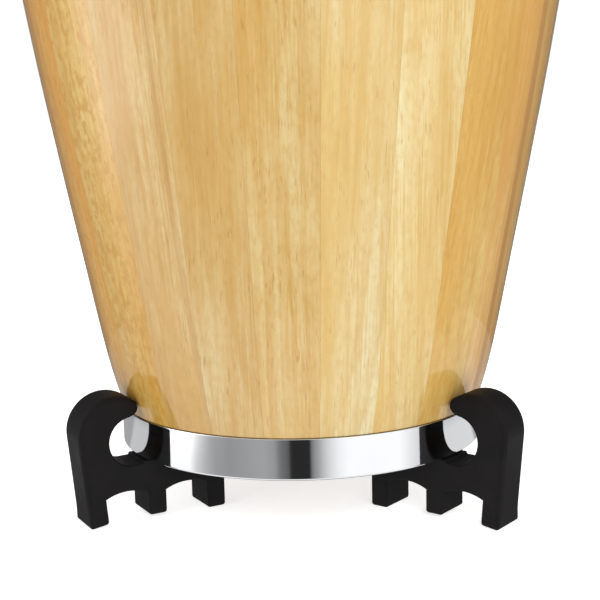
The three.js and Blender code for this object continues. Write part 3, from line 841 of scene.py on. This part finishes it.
def thread_rings(azimuth, turns):
    """The threaded end: a tapered point, and a helix that runs out into the plain shank."""
    length = THREAD_TOP - ROD_BOTTOM
    taper, run_out = 1 * MM, 2 * MM
    steps = int(length / THREAD_PITCH * THREAD_STEPS)
    rings = []
    for i in range(steps + 1):
        z = ROD_BOTTOM + length * i / steps
        point = 0.8 * MM * (1 - min(1.0, (z - ROD_BOTTOM) / taper))
        depth = THREAD_DEPTH * min(1.0, (THREAD_TOP - z) / run_out)
        ring = []
        for turn in turns:
            wave = 0.5 + 0.5 * math.cos(2 * math.pi * (z - ROD_BOTTOM) / THREAD_PITCH - turn)
            radius = ROD_RADIUS - depth * wave - point
            ring.append(place(azimuth, ROD_CIRCLE + radius * math.cos(turn), z, radius * math.sin(turn)))
        rings.append(ring)
    return rings


def hook_rings(azimuth, turns):
    """The plain shank, and the hook that goes over the ear and ends in a bevelled tip."""
    bend = ROD_CIRCLE - HOOK_RADIUS
    tip_z = HOOK_Z - 9 * MM
    easing = 1 * MM
    path = [(ROD_CIRCLE, THREAD_TOP + easing, 0.0), (ROD_CIRCLE, THREAD_TOP + 25 * MM, 0.0)]
    for degrees in range(0, 181, 12):
        a = math.radians(degrees)
        path.append((bend + HOOK_RADIUS * math.cos(a), HOOK_Z + HOOK_RADIUS * math.sin(a), a))
    path.append((bend - HOOK_RADIUS, tip_z + easing, math.pi))
    stations = [(r, z, lean, ROD_RADIUS) for r, z, lean in path]
    stations.append((bend - HOOK_RADIUS, tip_z, math.pi, ROD_RADIUS - easing))
    rings = []
    for r, z, lean, radius in stations:
        ring = []
        for turn in turns:
            out = radius * math.cos(turn)
            across = radius * math.sin(turn)
            ring.append(place(azimuth, r + out * math.cos(lean), z + out * math.sin(lean), across))
        rings.append(ring)
    return rings


def build_rods():
    """Bent rods, threaded at the bottom and hooked over the crown's ears."""
    plate = chrome("rod_plating", PLAIN_CHROME, 30)
    turns = [2 * math.pi * k / ROD_SIDES for k in range(ROD_SIDES)]
    for number, (node, azimuth) in enumerate(zip(numbered("tension_rod_"), lug_turns()), 1):
        bm = bmesh.new()
        rings_to_mesh(bm, thread_rings(azimuth, turns) + hook_rings(azimuth, turns))
        rod = evenly_shaded(finish_mesh(f"rod_{number}", bm, plate, 50))
        stand_for(rod, "head", "rod_chrome", node)


def around(bm, outline, matrix, steps=72):
    """A full turn about a local Z; the outline is asked for at each azimuth."""
    rings = []
    for k in range(steps):
        turn = 2 * math.pi * k / steps
        ring = [Vector((r * math.cos(turn), r * math.sin(turn), z)) for r, z in outline(turn)]
        rings.append([matrix @ p for p in ring])
    rows = rings_to_mesh(bm, rings, capped=False)
    close_turn(bm, rows)
    bmesh.ops.remove_doubles(bm, verts=[v for row in rows for v in row], dist=1e-6)


def hexagon(flats, turn):
    """Distance from the middle to the side of a hexagon at an azimuth."""
    sector = math.pi / 3
    return flats / 2 / math.cos((turn + sector / 2) % sector - sector / 2)


def nut_outline(turn):
    """Flanged hexagon nut, chamfered at the bottom, standing under z = 0."""
    height, flange, bore, flats = 14 * MM, 2 * MM, 4.45 * MM, 14.3 * MM
    bevel, rim_radius, rim_round = 0.4 * MM, 9.5 * MM, 0.7 * MM
    flat = hexagon(flats, turn)
    # The chamfer cuts the corners of the hexagon to these radii at these heights above the bottom.
    chamfer = [(6.5 * MM, 0.0), (7.3 * MM, 0.45 * MM), (7.8 * MM, 0.8 * MM), (flats, 1.4 * MM)]
    outline = [(bore, bevel - height), (bore + bevel, -height)]
    outline += [(min(flat, r), z - height) for r, z in chamfer]
    outline += [(flat, -flange - bevel), (flat + 0.3 * MM, -flange)]
    outline += arc(rim_radius - rim_round, -rim_round, rim_round, -60, 90, 6)
    return outline + [(bore + bevel, 0.0), (bore, -bevel)]


def build_nuts():
    plate = chrome("nut_plating", DULL_CHROME, 40)
    top = LUG_Z - NOSE_THICKNESS / 2 - CLEARANCE
    for number, (node, azimuth) in enumerate(zip(numbered("tuning_nut_"), lug_turns()), 1):
        bm = bmesh.new()
        spot = place(azimuth, ROD_CIRCLE, top)
        around(bm, nut_outline, Matrix.Translation(spot) @ Matrix.Rotation(azimuth, 4, "Z"))
        nut = finish_mesh(f"nut_{number}_hexagon", bm, plate, 25)
        stand_for(nut, f"nut_{number}", "nut_chrome", node)


def lug_frame(azimuth):
    """Local frame on the shell: x across, y into the drum, z up its slope."""
    step = 6 * MM
    slope = (shell_radius(LUG_Z + step) - shell_radius(LUG_Z - step)) / (2 * step)
    lean = Matrix.Rotation(math.atan(slope), 4, "X")
    shift = Matrix.Translation((0, -shell_radius(LUG_Z), LUG_Z))
    return Matrix.Rotation(azimuth, 4, "Z") @ shift @ lean


def bolt_outline(turn):
    """Domed bolt with a hexagon socket; z runs out of the shell from its surface."""
    socket = hexagon(3.2 * MM, turn)
    seat, crown_z, end = 4.6 * MM, 7.6 * MM, -16.3 * MM
    shank, head, bevel = 2.5 * MM, 5 * MM, 0.4 * MM
    outline = [(0.0, end), (shank - bevel, end), (shank, end + bevel), (shank, seat)]
    outline += [(head - bevel / 2, seat), (head, seat + bevel / 2)]
    # The dome is part of an ellipse, a little wider than the head and sunk into the seat.
    wide, tall, sunk = 1.02 * head, 0.78 * (crown_z - seat), 0.0152 * (crown_z - seat)
    outline += [(wide * x, seat + tall * y - sunk) for x, y in arc(0, 0, 1, 20, 75, 8)]
    outline += [(socket + 0.15 * MM, crown_z - 0.35 * MM), (socket, crown_z - 0.5 * MM)]
    return outline + [(socket, seat + 1.2 * MM), (0.0, seat + 0.9 * MM)]


def lug_gusset():
    """Side view of a rib on top of the nose, as (distance from the drum's axis, height)."""
    back = shell_radius(LUG_Z) + 2 * MM
    foot, top = (LUG_Z + NOSE_THICKNESS / 2 + lift for lift in (-1 * MM, 19 * MM))
    gusset = [(back, foot), (back + 11 * MM, foot), (back + 11 * MM, foot + 1.5 * MM)]
    return gusset + [(shell_radius(top) + 3.4 * MM, top), (shell_radius(top) + 2 * MM, top)]


def build_lugs():
    """Lug plates with their noses and ribs, and the bolts that hold them through the shell."""
    plate = chrome("lug_plating", PLAIN_CHROME, 24)
    steel = zinc_steel("backing_steel")
    upright = Matrix.Rotation(math.pi / 2, 4, "X")
    half_nose, nose_radius, nose_root = NOSE_THICKNESS / 2, 11 * MM, 178.4 * MM
    nose = [(nose_radius, -nose_root), (-nose_radius, -nose_root)]
    nose += arc(0, -ROD_CIRCLE, nose_radius, 180, 360, 20)
    hole = circle(0, -ROD_CIRCLE, ROD_RADIUS + 1 * MM)
    gusset, half_rib = lug_gusset(), 1.5 * MM
    face = rounded(17 * MM, -46 * MM, 38 * MM, 6 * MM)
    backing = rounded(15 * MM, -48 * MM, 40 * MM, 6 * MM)
    inner = -14.8 * MM  # outer face of the backing plate, behind the surface of the shell
    for number, azimuth in enumerate(lug_turns(), 1):
        frame_on_shell = lug_frame(azimuth)
        turn = Matrix.Rotation(azimuth, 4, "Z")
        bm = bmesh.new()
        slab(bm, face, [], CLEARANCE, CLEARANCE + 4 * MM, frame_on_shell @ upright)
        slab(bm, nose, [hole], LUG_Z - half_nose, LUG_Z + half_nose, turn)
        for x in (-8.5 * MM, 8.5 * MM):
            side = Matrix.Translation((x, 0, 0)) @ Matrix.Rotation(-math.pi / 2, 4, "Z") @ upright
            slab(bm, gusset, [], -half_rib, half_rib, turn @ side)
        obj = bevelled(finish_mesh(f"lug_{number}_casting", bm, plate), 0.9 * MM)
        stand_for(obj, "shell", "lug_chrome", f"lug_plate_{number}")
        bm = bmesh.new()
        slab(bm, backing, [], inner - 3 * MM, inner, frame_on_shell @ upright)
        obj = bevelled(finish_mesh(f"lug_{number}_backing", bm, steel), 0.5 * MM)
        stand_for(obj, "shell", "steel", f"lug_fixing_{number}")
        bm = bmesh.new()
        for level in (28 * MM, -36 * MM):
            outward = frame_on_shell @ Matrix.Translation((0, 0, level)) @ upright
            around(bm, bolt_outline, outward, 48)
        obj = finish_mesh(f"lug_{number}_bolts", bm, plate, 30)
        stand_for(obj, "shell", "lug_chrome", f"lug_fixing_{number}")


# ---- Camera, stage and light ----


def build_camera():
    heading, pitch, roll = (math.radians(a) for a in (CAMERA_HEADING, CAMERA_PITCH, CAMERA_ROLL))
    level = Vector((math.cos(heading), -math.sin(heading), 0))
    forward = Vector((math.sin(heading), math.cos(heading), 0))
    ahead = forward * math.cos(pitch) + Vector((0, 0, math.sin(pitch)))
    upright = level.cross(ahead)
    right = level * math.cos(roll) + upright * math.sin(roll)
    up = upright * math.cos(roll) - level * math.sin(roll)
    data = bpy.data.cameras.new("camera")
    data.lens = CAMERA_LENS
    data.sensor_width = CAMERA_SENSOR
    camera = bpy.data.objects.new("camera", data)
    spot = place(math.radians(CAMERA_AZIMUTH), CAMERA_DISTANCE, CAMERA_HEIGHT)
    turned = Matrix((right, up, -ahead)).transposed().to_4x4()
    camera.matrix_world = Matrix.Translation(spot) @ turned
    bpy.context.scene.collection.objects.link(camera)
    bpy.context.scene.camera = camera


def seen_by(obj, camera=False, glossy=False):
    """Shows a piece of the stage only to the camera, or only in reflections."""
    obj.visible_camera = camera
    obj.visible_glossy = glossy
    obj.visible_transmission = camera
    obj.visible_diffuse = False
    obj.visible_shadow = False


def sphere(name, radius, height, material):
    """A stage sphere round a point on the drum's axis."""
    bm = bmesh.new()
    bmesh.ops.create_uvsphere(bm, u_segments=96, v_segments=64, radius=radius)
    obj = finish_mesh(name, bm, material, 180)
    obj.location.z = height
    return obj


def glow(name):
    """A shader that only gives out light, and the node that gives it."""
    s = Shader(name)
    s.tree.nodes.remove(s.surface)
    light = s.node("Emission")
    output = next(n for n in s.tree.nodes if n.type == "OUTPUT_MATERIAL")
    s.tree.links.new(light.outputs[0], output.inputs["Surface"])
    s.material.cycles.emission_sampling = "NONE"
    return s, light


# What the plating and the lacquer mirror: white boards round the drum with dark gaps between them.
# Each table is (azimuth counted from the camera, brightness), all the way round the room, except
# that FRONT_BOARDS is only the part that two of them share.
FLOOR_GLOW = (
    (-180, 0.2), (-155, 0.2), (-135, 0.25), (-124, 0.6), (-115, 1.0), (115, 1.0), (125, 0.5), (135, 0.2),
    (150, 0.25), (180, 0.2),
)
FAR_BOARDS = (
    (-180, 0.08), (-140, 0.1), (-125, 0.3), (-104, 0.4), (-99, 1.0), (-74, 1.0), (-60, 0.5), (-45, 0.35),
    (-12, 0.2), (-6, 0.05), (4, 0.05), (10, 0.45), (22, 1.0), (78, 1.0), (84, 0.35), (110, 0.3),
    (125, 0.15), (140, 0.05), (180, 0.08),
)
FRONT_BOARDS = (
    (-24, 0.42), (-17, 0.36), (-13.5, 0.2), (-8.6, 0.125), (-6.8, 0.025), (4.7, 0.025), (5.9, 0.25),
    (9.9, 0.43), (13, 0.63), (16, 0.79), (22, 1.04), (29, 1.18), (62, 1.18), (70, 0.96), (78, 0.78),
    (86, 0.35), (110, 0.3), (125, 0.15), (140, 0.08),
)
RING_BOARDS = (
    (-180, 0.12), (-125, 0.2), (-110, 0.35), (-101, 1.14), (-74, 1.14), (-69, 0.74), (-62, 0.51),
    (-55, 0.385), (-45, 0.345), *FRONT_BOARDS, (180, 0.12),
)
HIGH_BOARDS = (
    (-180, 0.7), (-163, 0.15), (-125, 0.2), (-112, 0.35), (-104, 0.9), (-97, 2.6), (-74, 2.6),
    (-66, 1.2), (-58, 0.5), (-45, 0.345), *FRONT_BOARDS, (163, 0.15), (180, 0.7),
)
# The far edge of the floor: (azimuth, degrees below the level of the room's middle).
FLOOR_EDGE = (
    (-180, 12), (-155, 13.3), (-125, 19.5), (-93, 21.8), (-60, 26.6), (-19, 30.1), (22, 30.9), (52, 29.1),
    (80, 25.8), (108, 24.4), (121, 21.9), (133, 18.5), (148, 14.6), (180, 12),
)
# Elevations, in degrees, where one kind of board gives way to the next.
RING_FROM, HIGH_FROM, CEILING_FROM = -19.5, -14.5, 50
CEILING_GLOW = (1.15, 1.15, 1.15, 1)
ROOM_RADIUS, ROOM_MIDDLE = 8.0, 0.05

# The floor close to the drum, at its sides: the same kind of table, dimmer beyond a fade.
NEAR_GLOW = (
    (-150, 0.4), (-112, 0.4), (-108, 0.62), (-80, 0.62), (80, 0.8), (108, 0.8), (112, 0.42), (150, 0.42),
)
NEAR_SECTORS = ((80, 150), (-150, -80))
NEAR_INNER, NEAR_OUTER = 0.125, 0.42
NEAR_FADE = (0.29, 0.34)
BEYOND_FADE = 0.75

SURROUND_RADIUS, SURROUND_STRENGTH = 12.0, 1.02
FLOOR_RADIUS, FLOOR_STRENGTH = 11.5, 0.7
WORLD_STRENGTH = 0.55
LIT_SPOT = (0, 0, 0.25)  # what the lamps face


def turn_round(s, vector):
    """Azimuth of a point as a share of a full turn, from 0 at -180 degrees to 1 at 180."""
    split = s.node("SeparateXYZ", {"Vector": vector})
    azimuth = s.math("ARCTAN2", split.outputs["X"], s.math("MULTIPLY", split.outputs["Y"], -1.0))
    return s.range(azimuth, -math.pi, math.pi)


def by_azimuth(s, turn, table, scale=1.0):
    return s.greys(turn, [((azimuth + 180) / 360, value * scale) for azimuth, value in table])


def build_boards():
    """The floor and boards that only reflections see."""
    s, light = glow("studio_boards")
    unit = s.node("VectorMath", {0: s.objects()}, operation="NORMALIZE").outputs[0]
    turn = turn_round(s, unit)
    height = s.node("SeparateXYZ", {"Vector": unit}).outputs["Z"]
    elevation = s.math("MULTIPLY", s.math("ARCSINE", height), 180 / math.pi)

    def above(level, softness):
        lift = s.math("SUBTRACT", elevation, level)
        return s.range(lift, -softness, softness, smooth=True)

    edge = s.math("MULTIPLY", by_azimuth(s, turn, FLOOR_EDGE), -1.0)
    colour = s.mix(above(edge, 0.5), by_azimuth(s, turn, FLOOR_GLOW), by_azimuth(s, turn, FAR_BOARDS))
    colour = s.mix(above(RING_FROM, 0.3), colour, by_azimuth(s, turn, RING_BOARDS))
    colour = s.mix(above(HIGH_FROM, 2.5), colour, by_azimuth(s, turn, HIGH_BOARDS))
    s.feed(light.inputs["Color"], s.mix(above(CEILING_FROM, 10), colour, CEILING_GLOW))
    room = sphere("studio_boards", ROOM_RADIUS, ROOM_MIDDLE, s.material)
    room.rotation_euler.z = math.radians(CAMERA_AZIMUTH)
    seen_by(room, glossy=True)


def build_near_floor():
    """Two sectors of floor beside the drum, which only reflections see."""
    s, light = glow("near_floor")
    spot = s.objects()
    turn = turn_round(s, spot)
    outwards = s.node("VectorMath", {0: spot}, operation="LENGTH").outputs["Value"]
    inner, outer = by_azimuth(s, turn, NEAR_GLOW), by_azimuth(s, turn, NEAR_GLOW, BEYOND_FADE)
    s.feed(light.inputs["Color"], s.mix(s.range(outwards, *NEAR_FADE), inner, outer))
    bm = bmesh.new()
    steps = 16
    for start, end in NEAR_SECTORS:
        turns = [math.radians(start + (end - start) * k / steps) for k in range(steps + 1)]
        rings = [[place(a, NEAR_INNER, 1 * MM), place(a, NEAR_OUTER, 1 * MM)] for a in turns]
        rings_to_mesh(bm, rings, closed=False, capped=False)
    near = finish_mesh("near_floor", bm, s.material)
    near.rotation_euler.z = math.radians(CAMERA_AZIMUTH)
    seen_by(near, glossy=True)


def build_surround():
    """The plain white that the camera sees behind the drum."""
    s, light = glow("white_surround")
    light.inputs["Color"].default_value = (1, 1, 1, 1)
    light.inputs["Strength"].default_value = SURROUND_STRENGTH
    seen_by(sphere("white_surround", SURROUND_RADIUS, 0.0, s.material), camera=True)


def build_floor():
    """A pale floor that takes a soft shadow and stays out of the reflections."""
    s = Shader("pale_floor")
    s.set(
        Base_Color=s.mix(s.noise(s.objects(), 3), (0.9, 0.9, 0.9, 1), (0.93, 0.93, 0.93, 1)),
        Roughness=0.9,
        Emission_Color=(1, 1, 1, 1),
        Emission_Strength=FLOOR_STRENGTH,
    )
    bm = bmesh.new()
    bmesh.ops.create_circle(bm, cap_ends=True, segments=96, radius=FLOOR_RADIUS)
    floor = finish_mesh("floor", bm, s.material)
    floor.visible_glossy = False


def area_light(name, spot, size, power):
    """A square lamp; size in metres, power in watts."""
    data = bpy.data.lights.new(name, "AREA")
    data.shape = "SQUARE"
    data.size = size
    data.energy = power
    lamp = bpy.data.objects.new(name, data)
    lamp.location = spot
    towards = Vector(LIT_SPOT) - Vector(spot)
    lamp.rotation_euler = towards.to_track_quat("-Z", "Y").to_euler()
    bpy.context.scene.collection.objects.link(lamp)
    lamp.visible_glossy = False
    lamp.visible_camera = False


def build_lights():
    world = bpy.data.worlds.new("soft_room")
    world.use_nodes = True
    background = world.node_tree.nodes["Background"]
    background.inputs["Color"].default_value = (1, 1, 1, 1)
    background.inputs["Strength"].default_value = WORLD_STRENGTH
    bpy.context.scene.world = world
    area_light("key", (0.9, -2.2, 1.5), 1.6, 42)
    area_light("fill", (-1.8, -1.7, 0.9), 1.4, 16)
    area_light("right_side", (2.2, 1.0, 0.9), 1.2, 14)
    area_light("left_side", (-2.2, 1.0, 0.9), 1.2, 12)


build_camera()
build_lights()
build_boards()
build_near_floor()
build_surround()
build_floor()
build_staves()
build_band()
build_feet()
build_skin()
build_crown()
build_rods()
build_nuts()
build_lugs()

bpy.context.scene.view_settings.view_transform = "Standard"
